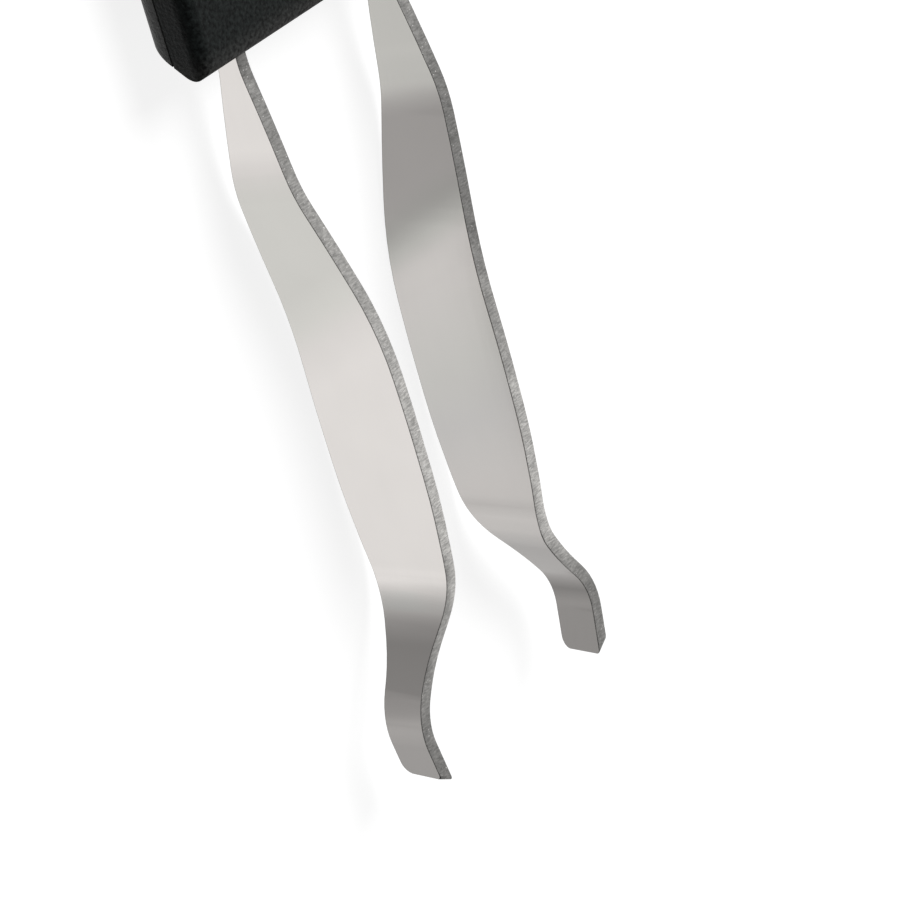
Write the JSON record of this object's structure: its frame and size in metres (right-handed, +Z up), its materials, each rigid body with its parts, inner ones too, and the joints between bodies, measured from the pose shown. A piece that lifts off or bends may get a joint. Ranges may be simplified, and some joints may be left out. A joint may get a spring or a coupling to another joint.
{
  "type": "key switch puller",
  "caption": "Key switch puller: a leaf-shaped steel strip folded into sprung tongs with out-turned jaws, held in a flat black moulded handle.",
  "frame": {"origin": "middle of the tool's box, on the surface that the tool lies on", "axes": "+X across the jaws, +Y from the jaws to the handle, +Z up; the tool lies as it comes to rest, so its own length tips 1.4 degrees down towards the handle"},
  "size_m": [0.0204, 0.0806, 0.0072],
  "materials": {
    "spring_steel": "satin rolled faces and dull sheared edges",
    "black_plastic": "fine matte texture"
  },
  "bodies": {
    "root": {"tongs": "spring_steel", "handle_upper_shell": "black_plastic", "handle_lower_shell": "black_plastic"}
  },
  "joints": []
}
